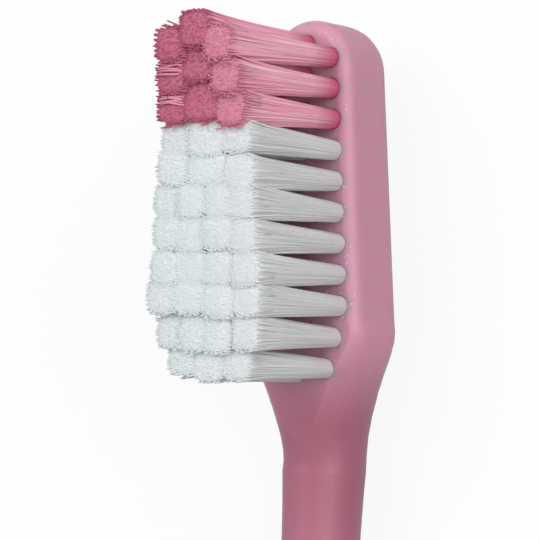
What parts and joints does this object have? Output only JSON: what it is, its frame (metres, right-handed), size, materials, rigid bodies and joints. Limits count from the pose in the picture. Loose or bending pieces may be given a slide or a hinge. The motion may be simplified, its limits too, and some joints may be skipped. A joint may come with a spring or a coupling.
{
  "type": "manual toothbrush",
  "caption": "Manual toothbrush with a one-piece moulded handle, a tapered head and rows of nylon tufts, taller and coloured at the tip.",
  "frame": {"origin": "on the surface that the brush lies on, below the middle of its overall length", "axes": "+X towards the tip of the head, +Z the way the bristles point, Y across the brush"},
  "size_m": [0.186, 0.013, 0.0222],
  "materials": {
    "handle_plastic": "satin injection-moulded polypropylene, slightly translucent",
    "white_nylon": "trimmed nylon filaments with rounded ends",
    "coloured_nylon": "trimmed nylon filaments, dyed through",
    "anchor_metal": "sheared nickel-silver strip"
  },
  "bodies": {
    "root": {"handle": "handle_plastic", "tuft_anchors": "anchor_metal", "tuft_r01_c1": "coloured_nylon", "tuft_r01_c2": "coloured_nylon", "tuft_r01_c3": "coloured_nylon", "tuft_r02_c1": "coloured_nylon", "tuft_r02_c2": "coloured_nylon", "tuft_r02_c3": "coloured_nylon", "tuft_r03_c1": "coloured_nylon", "tuft_r03_c2": "coloured_nylon", "tuft_r03_c3": "coloured_nylon", "tuft_r04_c1": "white_nylon", "tuft_r04_c2": "white_nylon", "tuft_r04_c3": "white_nylon", "tuft_r05_c1": "white_nylon", "tuft_r05_c2": "white_nylon", "tuft_r05_c3": "white_nylon", "tuft_r06_c1": "white_nylon", "tuft_r06_c2": "white_nylon", "tuft_r06_c3": "white_nylon", "tuft_r06_c4": "white_nylon", "tuft_r07_c1": "white_nylon", "tuft_r07_c2": "white_nylon", "tuft_r07_c3": "white_nylon", "tuft_r07_c4": "white_nylon", "tuft_r08_c1": "white_nylon", "tuft_r08_c2": "white_nylon", "tuft_r08_c3": "white_nylon", "tuft_r08_c4": "white_nylon", "tuft_r09_c1": "white_nylon", "tuft_r09_c2": "white_nylon", "tuft_r09_c3": "white_nylon", "tuft_r09_c4": "white_nylon", "tuft_r10_c1": "white_nylon", "tuft_r10_c2": "white_nylon", "tuft_r10_c3": "white_nylon", "tuft_r10_c4": "white_nylon", "tuft_r11_c1": "white_nylon", "tuft_r11_c2": "white_nylon", "tuft_r11_c3": "white_nylon"}
  },
  "joints": []
}
